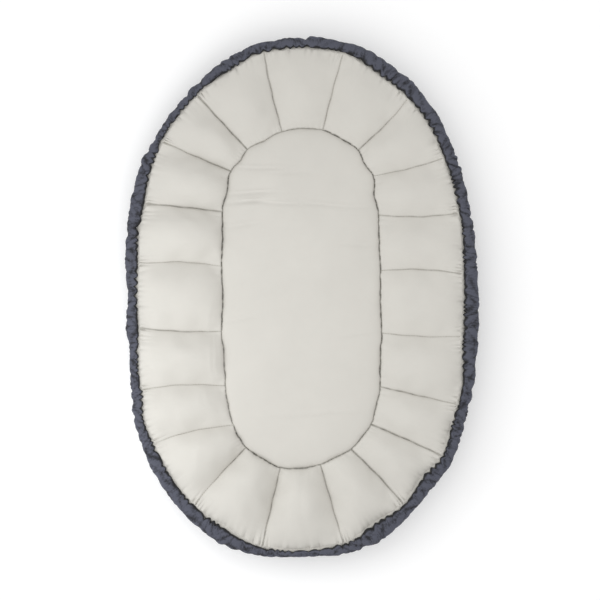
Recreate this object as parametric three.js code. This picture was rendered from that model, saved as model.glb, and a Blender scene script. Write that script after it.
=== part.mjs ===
// Infant lounger: a low, soft, oval nest that lies opened out on the floor. A thin foam mattress lies
// between a top panel and a base panel, twenty filled channels stand round it, and a gathered casing
// with elastic in it runs round the rim.
// Millimetres, +Z up, +Y towards the head end, origin on the floor under the middle of the nest.
import * as THREE from "three";

// Plan sizes
const MATTRESS_WIDTH = 282;
const MATTRESS_LENGTH = 599;
const RIM_SEAM_WIDTH = 572;
const RIM_SEAM_LENGTH = 856;
const RIM_SQUARENESS = 2.3; // exponent of the rim's oval, where 2 would be an ellipse

// Heights above the floor
const SEAM_HEIGHT = 20; // where the mattress and the channels are sewn together
const RIM_HEIGHT = 60;
const MATTRESS_HEIGHT = 36;
const FLOOR_CLEARANCE = 1.5; // least room under the channels

// How far the filling lifts the cloth above and below the plane of the seams
const LOFT_ABOVE = 17;
const LOFT_BELOW = 28;

// Cloth, its hems, and the room that is kept between two sewn pieces
const CLOTH = 1.4;
const HEM_DEPTH = 5.5;
const SEWN_GAP = 0.3;

// Rim casing and the elastic inside it
const ELASTIC_WIDTH = 6.6;
const ELASTIC_THICKNESS = 1.5;
const CASING_WIDTH = 20.5; // mean width of the gathered casing
const GATHER_RISE = 2.8; // gathered cloth over and under the tunnel
const RUFFLE = 1.8; // how far the gathers move the casing's outer face

// The seams between the channels run from the mattress to the rim. They are counted from the middle
// of the head end towards -X. On the mattress a place is a share of the way round its edge, and on
// the rim it is a share of a full turn about the middle of the nest.
const SEAM_FLOOR_SHARES = [
  0.023, 0.069, 0.101, 0.15, 0.213, 0.288, 0.351, 0.4, 0.43, 0.476,
  0.523, 0.564, 0.602, 0.648, 0.71, 0.782, 0.846, 0.893, 0.928, 0.975,
];
const SEAM_RIM_SHARES = [
  0.024, 0.075, 0.115, 0.163, 0.217, 0.279, 0.333, 0.374, 0.424, 0.475,
  0.527, 0.573, 0.616, 0.655, 0.713, 0.774, 0.829, 0.874, 0.922, 0.973,
];
// How far each seam pulls the rim out of its even oval, and how much further the rim stands out half
// way to the next seam, as shares of half the rim's width
const RIM_WANDER_SHARES = [
  0, -0.01, 0.01, -0.005, -0.005, -0.005, 0.015, 0.04, 0.015, 0.025,
  0.005, -0.01, 0.02, 0.01, -0.02, -0.02, -0.02, -0.02, -0.015, 0.015,
];
const RIM_BULGE_SHARES = [
  -0.02, 0.005, 0.015, 0.02, 0.005, 0.005, 0.02, 0, -0.01, 0,
  -0.03, -0.03, -0.01, 0.005, 0.005, 0.01, 0.005, 0.005, -0.02, 0,
];
// How wide the casing is at each seam and half way to the next, as shares of its mean width
const CASING_SEAM_SHARES = [
  0.85, 0.65, 0.75, 1.1, 0.95, 1.05, 0.85, 1.1, 1.15, 0.85,
  0.75, 1.1, 0.75, 1.1, 1.3, 1.2, 1.15, 1.1, 1, 0.8,
];
const CASING_MIDDLE_SHARES = [
  1, 0.65, 1, 0.9, 0.7, 0.75, 0.75, 1.2, 1.35, 0.55,
  1.4, 1.35, 1.1, 1, 1.15, 1.05, 1, 1.15, 1.3, 0.95,
];
// How far each seam bends sideways half way along, as a share of the width of the channel after it
const SEAM_BOW_SHARES = [
  0.02, 0.01, 0.01, -0.01, -0.06, 0.03, -0.05, -0.07, -0.02, 0,
  0, 0.03, 0.01, 0, -0.03, 0.05, -0.04, -0.03, -0.04, 0.01,
];
// Across a channel, and how much of the loft it has there
const ACROSS_SHARES = [0, 0.1, 0.34, 0.66, 0.9];
const CROWN_SHARES = [0, 0.42, 0.92, 0.92, 0.42];
// Along a channel from the mattress to the rim, with its loft, how far the seam plane has risen, and
// how much of its bow a seam has there
const ALONG_SHARES = [0, 0.12, 0.42, 0.78, 1];
const ALONG_LOFT_SHARES = [0, 0.62, 1, 0.95, 0];
const ALONG_RISE_SHARES = [0, 0.06, 0.32, 0.72, 1];
const ALONG_BOW_SHARES = [0, 0.37, 0.97, 0.64, 0];
const FILL_ROWS = [1, 2, 3]; // the steps along a channel that its fill reaches in full
const FILL_COLUMNS = [1, 2, 3, 4];
const FILL_TAPER_SHARE = 0.55; // how far the fill's thin edge goes on towards the seam
// Rings inwards from the edge of the mattress, as shares of half its width, and their heights
const RING_SHARES = [0, 0.14, 0.42];
const RING_CROWN_SHARES = [0, 0.84, 1];
const RING_BASE_SHARES = [1, 0, 0];
const FOAM_EDGE_SHARE = 0.3; // where the foam ends, on the way from the edge to the first ring in
const RUFFLE_SHARES = [-0.8, 0.3, 1, -0.6, 0.6]; // the casing's gathers, from one column to the next

// Points round both edges

const CHANNELS = SEAM_FLOOR_SHARES.length;

// The point of a closed list of shares that lies a way across one channel
function betweenSeams(shares, channel, across, turn) {
  const from = shares[channel];
  const last = channel + 1 === CHANNELS;
  const to = last ? shares[0] + turn : shares[channel + 1];
  return THREE.MathUtils.lerp(from, to, across);
}

// Place and outward direction on the mattress's edge, which is two half circles and two straights
function mattressEdge(share) {
  const radius = MATTRESS_WIDTH / 2;
  const straight = MATTRESS_LENGTH - MATTRESS_WIDTH;
  const quarter = (Math.PI * radius) / 2;
  const perimeter = 4 * quarter + 2 * straight;
  const way = (share - Math.floor(share)) * perimeter;
  const footStart = quarter + straight;
  const rightStart = footStart + 2 * quarter;
  const headStart = rightStart + straight;
  let angle = way / radius;
  let middle = straight / 2;
  if (way > headStart) {
    angle = (way - headStart) / radius + 1.5 * Math.PI;
  } else if (way > rightStart) {
    angle = 1.5 * Math.PI;
    middle = way - rightStart - straight / 2;
  } else if (way > footStart) {
    angle = (way - footStart) / radius + Math.PI / 2;
    middle = -straight / 2;
  } else if (way > quarter) {
    angle = Math.PI / 2;
    middle = straight / 2 - (way - quarter);
  }
  const out = new THREE.Vector2(-Math.sin(angle), Math.cos(angle));
  const place = out.clone().multiplyScalar(radius).add(new THREE.Vector2(0, middle));
  return { place, out };
}

// Place on the rim seam, an oval that the seams pull a little out of its even shape
function rimSeam(channel, across) {
  const turn = betweenSeams(SEAM_RIM_SHARES, channel, across, 1) * 2 * Math.PI;
  const x = -Math.sin(turn);
  const y = Math.cos(turn);
  const reach =
    Math.abs((2 * x) / RIM_SEAM_WIDTH) ** RIM_SQUARENESS +
    Math.abs((2 * y) / RIM_SEAM_LENGTH) ** RIM_SQUARENESS;
  const smooth = THREE.MathUtils.smoothstep(across, 0, 1);
  const wander = betweenSeams(RIM_WANDER_SHARES, channel, smooth, 0);
  const bulge = RIM_BULGE_SHARES[channel] * Math.sin(Math.PI * across) ** 2;
  const pull = ((wander + bulge) * RIM_SEAM_WIDTH) / 2;
  return new THREE.Vector2(x, y).multiplyScalar(reach ** (-1 / RIM_SQUARENESS) + pull);
}

// Width of the casing, which swings from each seam to the middle of the channel and on to the next
function casingWidth(channel, across) {
  const half = across < 0.5 ? 0 : 1;
  const from = half === 0 ? CASING_SEAM_SHARES[channel] : CASING_MIDDLE_SHARES[channel];
  const to = half === 0 ? CASING_MIDDLE_SHARES[channel] : CASING_SEAM_SHARES[(channel + 1) % CHANNELS];
  return CASING_WIDTH * THREE.MathUtils.lerp(from, to, THREE.MathUtils.smoothstep(2 * across - half, 0, 1));
}

// The columns that every sewn piece shares, so that neighbours lie evenly apart
function makeColumns() {
  const columns = [];
  for (let channel = 0; channel < CHANNELS; channel += 1) {
    ACROSS_SHARES.forEach((across, step) => {
      columns.push({
        across,
        channel,
        crown: CROWN_SHARES[step],
        edge: mattressEdge(betweenSeams(SEAM_FLOOR_SHARES, channel, across, 1)),
        rim: rimSeam(channel, across),
        ruffle: RUFFLE * RUFFLE_SHARES[step],
        width: casingWidth(channel, across),
      });
    });
  }
  columns.forEach((column, index) => {
    const before = columns[(index + columns.length - 1) % columns.length].rim;
    const after = columns[(index + 1) % columns.length].rim;
    const along = after.clone().sub(before).normalize();
    column.rimOut = new THREE.Vector2(along.y, -along.x);
  });
  return columns;
}

const COLUMNS = makeColumns();

// Closed surfaces from rings of points

function raised(plan, height) {
  return new THREE.Vector3(plan.x, plan.y, height);
}

// Joins two rings of points with triangles that face up, or down where up is false
function joinRings(faces, inner, outer, count, up) {
  for (let here = 0; here < count; here += 1) {
    const next = (here + 1) % count;
    const corners = [inner + here, outer + here, outer + next, inner + next];
    addQuad(faces, corners, up);
  }
}

function addQuad(faces, [a, b, c, d], up) {
  if (up) {
    faces.push(a, b, c, a, c, d);
  } else {
    faces.push(a, c, b, a, d, c);
  }
}

function makeGeometry(points, faces) {
  const geometry = new THREE.BufferGeometry().setFromPoints(points);
  geometry.setIndex(faces);
  geometry.computeVertexNormals();
  return geometry;
}

// A layer between an upper and a lower stack of rings, both listed from the inside out. A layer that
// isn't capped is open in the middle, like a ring of cloth.
function makeLayer(upper, lower, capped) {
  const count = COLUMNS.length;
  const faces = [];
  const last = upper.length - 1;
  const under = upper.length * count;
  for (let ring = 0; ring < last; ring += 1) {
    joinRings(faces, ring * count, (ring + 1) * count, count, true);
    joinRings(faces, under + ring * count, under + (ring + 1) * count, count, false);
  }
  joinRings(faces, last * count, under + last * count, count, true);
  if (capped) {
    for (let here = 1; here < count - 1; here += 1) {
      faces.push(0, here, here + 1, under, under + here + 1, under + here);
    }
  } else {
    joinRings(faces, under, 0, count, true);
  }
  return makeGeometry([...upper.flat(), ...lower.flat()], faces);
}

// A closed section carried round the nest, listed clockwise as seen with the outside on the right
function makeHoop(section) {
  const count = COLUMNS.length;
  const faces = [];
  section.forEach((ring, index) => {
    joinRings(faces, index * count, ((index + 1) % section.length) * count, count, true);
  });
  return makeGeometry(section.flat(), faces);
}

// Channels: cloth above and below, and the filling between

function seamPlane(along) {
  return THREE.MathUtils.lerp(SEAM_HEIGHT, RIM_HEIGHT, ALONG_RISE_SHARES[along]);
}

function channelPlan(column, along) {
  const bow = betweenSeams(SEAM_BOW_SHARES, column.channel, column.across, 0);
  const across = column.across + bow * ALONG_BOW_SHARES[along];
  const edge = mattressEdge(betweenSeams(SEAM_FLOOR_SHARES, column.channel, across, 1));
  const rim = rimSeam(column.channel, across);
  return edge.place.addScaledVector(edge.out, SEWN_GAP / 2).lerp(rim, ALONG_SHARES[along]);
}

function linerUnderside(column, along) {
  const loft = LOFT_ABOVE * column.crown * ALONG_LOFT_SHARES[along];
  return seamPlane(along) + SEWN_GAP / 2 + loft;
}

function coverTop(column, along) {
  const loft = LOFT_BELOW * column.crown * ALONG_LOFT_SHARES[along];
  return Math.max(FLOOR_CLEARANCE + CLOTH, seamPlane(along) - SEWN_GAP / 2 - loft);
}

// A ring of quilted cloth with its hem, whose lower face is the given height
function makeQuiltedRing(lowerFace) {
  const lower = ALONG_SHARES.map((share, along) =>
    COLUMNS.map((column) => raised(channelPlan(column, along), lowerFace(column, along))),
  );
  const end = ALONG_SHARES.length - 1;
  lower.push(
    COLUMNS.map((column) => {
      const plan = column.rim.clone().addScaledVector(column.rimOut, HEM_DEPTH);
      return raised(plan, lowerFace(column, end));
    }),
  );
  const upper = lower.map((ring) => ring.map((point) => raised(point, point.z + CLOTH)));
  return makeLayer(upper, lower, false);
}

function makeChannelLiner() {
  return makeQuiltedRing(linerUnderside);
}

function makeOuterCover() {
  return makeQuiltedRing((column, along) => coverTop(column, along) - CLOTH);
}

// The column of the nest that a place across one channel lies on
function columnOf(channel, step) {
  return COLUMNS[(channel * ACROSS_SHARES.length + step) % COLUMNS.length];
}

// The thin edge of a fill, on the seam plane between the fill's last point and the sewn line
function fillEdgePoint(channel, row, step) {
  const ends = [FILL_ROWS[0], FILL_ROWS.at(-1)];
  const sides = [FILL_COLUMNS[0], FILL_COLUMNS.at(-1)];
  const rowOut = row + (row === ends[1] ? 1 : 0) - (row === ends[0] ? 1 : 0);
  const stepOut = step + (step === sides[1] ? 1 : 0) - (step === sides[0] ? 1 : 0);
  const corner = rowOut !== row && stepOut !== step;
  const reach = corner ? FILL_TAPER_SHARE / 2 : FILL_TAPER_SHARE;
  const inner = raised(channelPlan(columnOf(channel, step), row), seamPlane(row));
  const outer = raised(channelPlan(columnOf(channel, stepOut), rowOut), seamPlane(rowOut));
  return inner.lerp(outer, reach);
}

// A pillow of loose fibre that fills one channel and thins out towards its seams
function makeChannelFill(channel) {
  const points = [];
  const faces = [];
  const wide = FILL_COLUMNS.length;
  const size = wide * FILL_ROWS.length;
  const top = (column, row) => linerUnderside(column, row) - SEWN_GAP;
  const bottom = (column, row) => coverTop(column, row) + SEWN_GAP;
  [top, bottom].forEach((height) => {
    FILL_ROWS.forEach((row) => {
      FILL_COLUMNS.forEach((step) => {
        const column = columnOf(channel, step);
        points.push(raised(channelPlan(column, row), height(column, row)));
      });
    });
  });
  for (let row = 0; row < FILL_ROWS.length - 1; row += 1) {
    for (let step = 0; step < wide - 1; step += 1) {
      const here = row * wide + step;
      const corners = [here, here + wide, here + wide + 1, here + 1];
      addQuad(faces, corners, true);
      addQuad(faces, corners.map((corner) => corner + size), false);
    }
  }
  const border = fillBorder(wide, FILL_ROWS.length);
  border.forEach((here) => {
    points.push(fillEdgePoint(channel, FILL_ROWS[Math.floor(here / wide)], FILL_COLUMNS[here % wide]));
  });
  border.forEach((here, index) => {
    const follow = (index + 1) % border.length;
    const edge = 2 * size + index;
    const edgeNext = 2 * size + follow;
    addQuad(faces, [here, edge, edgeNext, border[follow]], true);
    addQuad(faces, [edge, here + size, border[follow] + size, edgeNext], true);
  });
  return makeGeometry(points, faces);
}

// The outer points of a grid, counter-clockwise as seen from above
function fillBorder(wide, rows) {
  const border = [];
  for (let row = 0; row < rows; row += 1) border.push(row * wide);
  for (let step = 1; step < wide; step += 1) border.push((rows - 1) * wide + step);
  for (let row = rows - 2; row >= 0; row -= 1) border.push(row * wide + wide - 1);
  for (let step = wide - 2; step > 0; step -= 1) border.push(step);
  return border;
}

// Mattress: top panel, foam and base panel

function mattressPlan(column, inset) {
  return column.edge.place.clone().addScaledVector(column.edge.out, -inset);
}

// Rings from the inside out, at the height that each ring has
function mattressRings(heights, gap) {
  const rings = RING_SHARES.map((share, index) => {
    const inset = Math.max((share * MATTRESS_WIDTH) / 2, gap);
    return COLUMNS.map((column) => raised(mattressPlan(column, inset), heights[index]));
  });
  return rings.reverse();
}

// Heights of the undersides of the top panel, and of the upper faces of the base panel
const PANEL_HEIGHTS = RING_CROWN_SHARES.map((share) =>
  THREE.MathUtils.lerp(SEAM_HEIGHT + SEWN_GAP / 2, MATTRESS_HEIGHT - CLOTH, share),
);
const BASE_HEIGHTS = RING_BASE_SHARES.map((share) =>
  THREE.MathUtils.lerp(CLOTH, SEAM_HEIGHT - SEWN_GAP / 2, share),
);

function makeCentrePanel() {
  const lower = mattressRings(PANEL_HEIGHTS, SEWN_GAP / 2);
  const upper = mattressRings(PANEL_HEIGHTS.map((height) => height + CLOTH), SEWN_GAP / 2);
  return makeLayer(upper, lower, true);
}

function makeBasePanel() {
  const upper = mattressRings(BASE_HEIGHTS, SEWN_GAP / 2);
  const lower = mattressRings(BASE_HEIGHTS.map((height) => height - CLOTH), SEWN_GAP / 2);
  return makeLayer(upper.slice(1), lower.slice(1), true);
}

// The foam follows both panels, and its edge stops short of the seam
function makeMattressCore() {
  const trim = (rings) => {
    const outer = rings.at(-1);
    const inner = rings.at(-2);
    const edge = outer.map((point, index) => point.clone().lerp(inner[index], FOAM_EDGE_SHARE));
    return [...rings.slice(0, -1), edge];
  };
  const upper = mattressRings(PANEL_HEIGHTS.map((height) => height - SEWN_GAP), SEWN_GAP / 2);
  const lower = mattressRings(BASE_HEIGHTS.map((height) => height + SEWN_GAP), SEWN_GAP / 2);
  return makeLayer(trim(upper), trim(lower), true);
}

// Rim: a gathered casing that grips both hems, with elastic in its tunnel

const HEM_HALF = SEWN_GAP / 2 + CLOTH;
const SLIT_HALF = HEM_HALF + SEWN_GAP;
const THROAT = HEM_DEPTH + CLOTH;
const ELASTIC_INSIDE = THROAT + 2 * CLOTH;
const ELASTIC_OUTSIDE = ELASTIC_INSIDE + ELASTIC_THICKNESS;
const TUNNEL_HALF = ELASTIC_WIDTH / 2 + 2 * CLOTH;
const TUNNEL_END = ELASTIC_OUTSIDE + 3 * CLOTH;
const CASING_HALF = TUNNEL_HALF + GATHER_RISE;

function rimRing(depth, height) {
  return COLUMNS.map((column) => {
    const plan = column.rim.clone().addScaledVector(column.rimOut, depth);
    return raised(plan, RIM_HEIGHT + height);
  });
}

// The outer face of the casing, which stays clear of the tunnel where the casing is narrow
function casingFace(height) {
  return COLUMNS.map((column) => {
    const depth = Math.max(column.width + column.ruffle, TUNNEL_END + CLOTH);
    const plan = column.rim.clone().addScaledVector(column.rimOut, depth);
    return raised(plan, RIM_HEIGHT + height);
  });
}

function makeRimCasing() {
  return makeHoop([
    rimRing(SEWN_GAP, SLIT_HALF + CLOTH / 4),
    rimRing(ELASTIC_INSIDE - CLOTH, CASING_HALF),
    casingFace(CASING_HALF / 2),
    casingFace(-CASING_HALF / 2),
    rimRing(ELASTIC_INSIDE - CLOTH, -CASING_HALF),
    rimRing(SEWN_GAP, -SLIT_HALF - CLOTH / 4),
    rimRing(THROAT, -SLIT_HALF),
    rimRing(ELASTIC_INSIDE, -TUNNEL_HALF),
    rimRing(TUNNEL_END, 0),
    rimRing(ELASTIC_INSIDE, TUNNEL_HALF),
    rimRing(THROAT, SLIT_HALF),
  ]);
}

function makeRimElastic() {
  const half = ELASTIC_WIDTH / 2;
  return makeHoop([
    rimRing(ELASTIC_INSIDE, half),
    rimRing(ELASTIC_OUTSIDE, half),
    rimRing(ELASTIC_OUTSIDE, -half),
    rimRing(ELASTIC_INSIDE, -half),
  ]);
}

// Materials

function cloth(colour, roughness) {
  return new THREE.MeshStandardMaterial({ color: colour, roughness, metalness: 0 });
}

const creamCotton = cloth(0xdbdad3, 0.85);
const slateCotton = cloth(0x555967, 0.9);
const foam = cloth(0xefe9d4, 0.95);
const fibre = cloth(0xf6f6f3, 1);
const elastic = cloth(0xe9e7e1, 0.7);

// Assembly

const nest = new THREE.Group();

function addPiece(name, geometry, material) {
  const mesh = new THREE.Mesh(geometry, material);
  mesh.name = name;
  nest.add(mesh);
}

addPiece("base_panel", makeBasePanel(), slateCotton);
addPiece("mattress_core", makeMattressCore(), foam);
addPiece("centre_panel", makeCentrePanel(), creamCotton);
addPiece("outer_cover", makeOuterCover(), slateCotton);
for (let channel = 0; channel < CHANNELS; channel += 1) {
  const number = String(channel + 1).padStart(2, "0");
  addPiece(`channel_fill_${number}`, makeChannelFill(channel), fibre);
}
addPiece("channel_liner", makeChannelLiner(), creamCotton);
addPiece("rim_casing", makeRimCasing(), slateCotton);
addPiece("rim_elastic", makeRimElastic(), elastic);

// The rim wanders, so the middle of the nest is found from its extents
const extents = new THREE.Box3().setFromObject(nest);
const middle = extents.getCenter(new THREE.Vector3());
nest.position.set(-middle.x, -middle.y, 0);

export default nest;
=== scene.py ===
# Looks of the infant lounger: an oval nest of quilted cream cotton with a gathered slate rim
import math

import bpy
import numpy as np
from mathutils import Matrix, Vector


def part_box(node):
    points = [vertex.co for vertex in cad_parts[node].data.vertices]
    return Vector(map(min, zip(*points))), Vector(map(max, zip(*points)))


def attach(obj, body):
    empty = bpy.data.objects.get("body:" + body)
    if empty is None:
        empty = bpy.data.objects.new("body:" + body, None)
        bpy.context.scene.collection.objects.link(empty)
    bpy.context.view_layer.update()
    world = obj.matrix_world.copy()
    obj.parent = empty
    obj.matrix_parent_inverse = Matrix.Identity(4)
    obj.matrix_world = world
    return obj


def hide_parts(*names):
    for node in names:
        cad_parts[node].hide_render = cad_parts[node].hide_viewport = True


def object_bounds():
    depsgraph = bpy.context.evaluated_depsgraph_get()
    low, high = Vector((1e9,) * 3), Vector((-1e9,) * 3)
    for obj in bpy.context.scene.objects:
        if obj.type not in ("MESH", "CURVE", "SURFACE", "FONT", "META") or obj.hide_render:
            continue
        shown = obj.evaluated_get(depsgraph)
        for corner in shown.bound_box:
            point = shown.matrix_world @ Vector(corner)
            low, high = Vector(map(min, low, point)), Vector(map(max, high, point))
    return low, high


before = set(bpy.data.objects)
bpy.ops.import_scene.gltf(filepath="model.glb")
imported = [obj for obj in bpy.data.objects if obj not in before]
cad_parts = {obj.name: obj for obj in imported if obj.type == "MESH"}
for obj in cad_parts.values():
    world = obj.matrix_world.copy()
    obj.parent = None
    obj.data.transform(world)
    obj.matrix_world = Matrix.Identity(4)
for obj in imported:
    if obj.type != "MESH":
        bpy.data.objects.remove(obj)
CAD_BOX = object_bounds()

bl_info = {
    "name": "Quilted infant lounger",
    "version": (1, 0, 0),
    "blender": (4, 5, 0),
    "location": "3D View > Sidebar > Nest",
    "description": "Makes an oval nest with filled channels, a thin mattress and a gathered rim",
    "category": "Add Mesh",
}

BODY = "root"
MM = 0.001
TURN = 2 * math.pi

# Places and heights that the frame gives, in metres
PANEL_LOW, PANEL_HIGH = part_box("centre_panel")
LINER_LOW, LINER_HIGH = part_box("channel_liner")
ELASTIC_LOW, ELASTIC_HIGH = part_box("rim_elastic")
MATTRESS_MIDDLE = np.array((PANEL_LOW + PANEL_HIGH)[:2]) / 2
MATTRESS_RADIUS = (PANEL_HIGH.x - PANEL_LOW.x) / 2
MATTRESS_STRAIGHT = (PANEL_HIGH.y - PANEL_LOW.y) - 2 * MATTRESS_RADIUS
MATTRESS_HEIGHT = PANEL_HIGH.z
SEAM_LIFT = 8 * MM  # how much higher the cloth's seam lies round the mattress than the solid's
SEAM_HEIGHT = PANEL_LOW.z + SEAM_LIFT
RIM_HEIGHT = (ELASTIC_LOW.z + ELASTIC_HIGH.z) / 2
LINER_SPAN = np.array((LINER_HIGH - LINER_LOW)[:2])

# The seams between the channels, counted from the middle of the head end towards -X. On the mattress
# a place is a share of the way round its edge, and on the rim it is a share of a full turn.
SEAM_FLOOR_SHARES = np.array([
    0.023, 0.069, 0.101, 0.15, 0.213, 0.288, 0.351, 0.4, 0.43, 0.476,
    0.523, 0.564, 0.602, 0.648, 0.71, 0.782, 0.846, 0.893, 0.928, 0.975,
])
SEAM_RIM_SHARES = np.array([
    0.024, 0.075, 0.115, 0.163, 0.217, 0.279, 0.333, 0.374, 0.424, 0.475,
    0.527, 0.573, 0.616, 0.655, 0.713, 0.774, 0.829, 0.874, 0.922, 0.973,
])
# How far each seam pulls the rim out of its even oval, and how much further the rim stands out half
# way to the next seam, as shares of half the rim's width
RIM_WANDER_SHARES = np.array([
    0.012, -0.012, 0.01, -0.008, -0.012, -0.018, 0.009, 0.032, 0.02, 0.03,
    0.016, -0.009, 0.023, 0.011, -0.021, -0.021, -0.01, -0.012, -0.013, 0.013,
])
RIM_BULGE_SHARES = np.array([
    -0.021, 0.003, 0.011, 0.015, 0.007, 0.005, 0.018, -0.004, -0.018, 0.003,
    -0.03, -0.028, -0.007, 0.005, 0.005, 0.006, 0.005, 0.01, -0.018, 0.005,
])
# How wide the casing is at each seam and half way to the next, as shares of its mean width
CASING_SEAM_SHARES = np.array([
    0.8, 0.65, 0.65, 1.2, 1.05, 1.05, 0.85, 0.95, 1.05, 0.7,
    0.8, 1, 0.95, 0.9, 1.3, 1.2, 0.95, 1, 1.1, 0.95,
])
CASING_MIDDLE_SHARES = np.array([
    0.95, 0.6, 0.95, 0.95, 0.8, 0.75, 0.8, 1.15, 1.3, 0.55,
    1.45, 1.15, 1, 1.05, 1.15, 1, 0.95, 1, 1.2, 0.85,
])
# How far the mattress's edge stands out of its even oval at each seam and half way to the next, as
# shares of its radius: the channels draw it in between their seams
EDGE_SEAM_SHARES = np.array([
    -0.02, -0.012, -0.01, -0.02, -0.01, -0.01, -0.06, -0.045, 0, 0.015,
    -0.03, -0.025, -0.025, -0.02, 0, -0.015, -0.04, -0.02, 0.01, 0.005,
])
EDGE_MIDDLE_SHARES = np.array([
    -0.045, -0.04, -0.055, -0.02, -0.025, -0.04, -0.07, -0.015, -0.005, -0.01,
    -0.045, -0.035, -0.045, -0.015, -0.015, -0.03, -0.08, -0.04, -0.005, -0.01,
])
# How dark the painted shade in the crease round the mattress is along each channel
EDGE_SHADE_SHARES = np.array([
    0.3, 0.45, 0.85, 1, 0.9, 0.6, 0.6, 0.8, 0.9, 0.6,
    0.5, 0.55, 0.6, 1, 0.9, 0.9, 1, 0.8, 0.9, 0.35,
])
# How far each seam bends sideways half way along, as a share of the width of the channel after it
SEAM_BOW_SHARES = np.array([
    0.02, 0.01, 0.01, -0.01, -0.06, 0.03, -0.05, -0.07, -0.02, 0,
    0, 0.03, 0.01, 0, -0.03, 0.05, -0.04, -0.03, -0.04, 0.01,
])
# How deep each seam is drawn in between its channels, at the mattress and at the rim, which also sets
# how dark the painted shade along it is
SEAM_INNER_SHARES = np.array([
    0.75, 1, 0.8, 0.7, 0.25, 0.35, 0.3, 0.25, 0.7, 0.6,
    0.7, 1, 1, 0.8, 0.35, 0.35, 0.45, 0.25, 0.8, 0.6,
])
SEAM_OUTER_SHARES = np.array([
    0.85, 0.9, 0.5, 0.8, 0.25, 0.8, 0.3, 0.3, 0.12, 0.8,
    0.6, 0.9, 0.8, 0.4, 0.2, 0.6, 0.5, 0.5, 0.25, 0.5,
])
# How full each channel is above its seams, as shares of the loft
CHANNEL_LOFT_SHARES = np.array([
    0.7, 1.1, 1.55, 1.7, 1.35, 1.4, 1.1, 1.6, 1.8, 1.8,
    1.4, 1, 1.1, 1.2, 0.95, 0.9, 1, 1, 0.7, 0.6,
])
# How tightly each seam's end is tacked down at the rim, which also darkens it there with painted shade
SEAM_TACK_SHARES = np.array([
    0.3, 0.3, 0.2, 1, 0.3, 0.9, 0.2, 0.3, 0.2, 0.3,
    0.2, 0.4, 0.3, 0.2, 0.3, 1, 0.9, 0.4, 0.2, 0.4,
])
# Folds in the liner: place round the nest in channels, share of the way to the rim, slant from the
# mattress's edge in degrees, then half the length, the width and the height in millimetres
LINER_FOLDS = [
    (0.4, 0.4, 60, 60, 12, 0.6),
    (2.2, 0.4, 85, 55, 9, -0.8),
    (3.15, 0.5, 88, 50, 9, -0.8),
    (4.8, 0.16, 5, 25, 3, 0.6),
    (5.5, 0.17, 0, 45, 3, 0.8),
    (5.5, 0.11, 0, 40, 3, 0.6),
    (6.2, 0.25, -8, 25, 4, 0.6),
    (6.3, 0.33, 5, 18, 4, 0.5),
    (6.65, 0.58, 10, 20, 5, 0.6),
    (7.4, 0.55, 35, 45, 8, 1),
    (8.7, 0.5, 88, 60, 10, -1.2),
    (9.3, 0.5, 90, 55, 7, 1),
    (9.5, 0.5, 88, 50, 6, -1),
    (10.5, 0.6, 60, 55, 9, -1),
    (10.4, 0.8, 75, 30, 6, -1.2),
    (11.5, 0.85, 85, 22, 8, -1.5),
    (13.75, 0.2, 0, 20, 3, 0.5),
    (16.9, 0.28, 5, 14, 3, 0.5),
    (17.92, 0.14, 50, 18, 4, -0.8),
    (18.92, 0.45, 30, 14, 3, -0.6),
]
# Drag lines on the mattress: distance from its middle towards the head, middle of the line to the
# right, reach to either side, slope, and height, all but the slope in millimetres
WRINKLES = [
    (230, -62, 44, -0.06, 1.7),
    (222, -20, 40, -0.04, 0.8),
    (187, -84, 42, 0.02, 1.9),
    (172, -92, 36, 0.05, 2),
    (168, -10, 120, -0.05, 1.1),
    (130, -104, 26, 0.1, 0.9),
    (96, 96, 26, -0.12, 0.8),
    (-34, -104, 24, 0.1, 0.6),
    (-60, 100, 24, 0.1, 0.8),
    (-200, 30, 80, 0.05, 0.6),
]
# Rings of the mattress's underside and of the base panel, as distances in from the mattress's edge
PAD_INSETS = np.array([0.15, 2, 5, 9, 13, 17, 20, 24, 34, 60, 90, 120, 136]) * MM
CHANNELS = len(SEAM_FLOOR_SHARES)
MEAN_CHANNEL = 96 * MM  # width of a channel half way along, which places its folds
RIM_STRETCH = np.array([0.997, 1.006])  # the cloth's rim against its solid's, in width and length
RIM_SQUARENESS = 2.3  # exponent of the rim's oval, where 2 would be an ellipse
HEM_DEPTH = 5.5 * MM
FLOOR_ROOM = 0.3 * MM  # room that the cover's gathers leave over the floor
CASING_START = 1.9 * MM  # from the rim seam out to the casing's inner side, on the whole
EDGE_WOBBLE = 0.25 * MM  # how far hand sewing wanders off the mattress's edge
SEAM_WOBBLE = 0.005  # how far it wanders off the seams, as a share of a channel's width
SEAM_CROWDING = 0.6  # how much closer together the columns lie near a seam
FOOT_END = (0.48, 0.13)  # middle and width of the stretch with the deepest gathers, in turns
TUCKED_END = (0.555, 0.085)  # the same for the stretch where the liner dips under the casing
# The liner's cotton in its cloth simulation
CLOTH_SETTINGS = {
    "vertex_group_mass": "sewn", "mass": 0.2, "quality": 6,
    "tension_stiffness": 25, "compression_stiffness": 25, "shear_stiffness": 8,
    "bending_stiffness": 0.4, "tension_damping": 8, "compression_damping": 8, "shear_damping": 5,
    "air_damping": 4, "shrink_min": -0.03, "use_pressure": True,
}
CLOTH_FRAMES = 20
CLOTH_SMOOTHINGS = 6
FILL_PRESSURE = 2.5
MOST_SWELLING = 7 * MM
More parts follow.
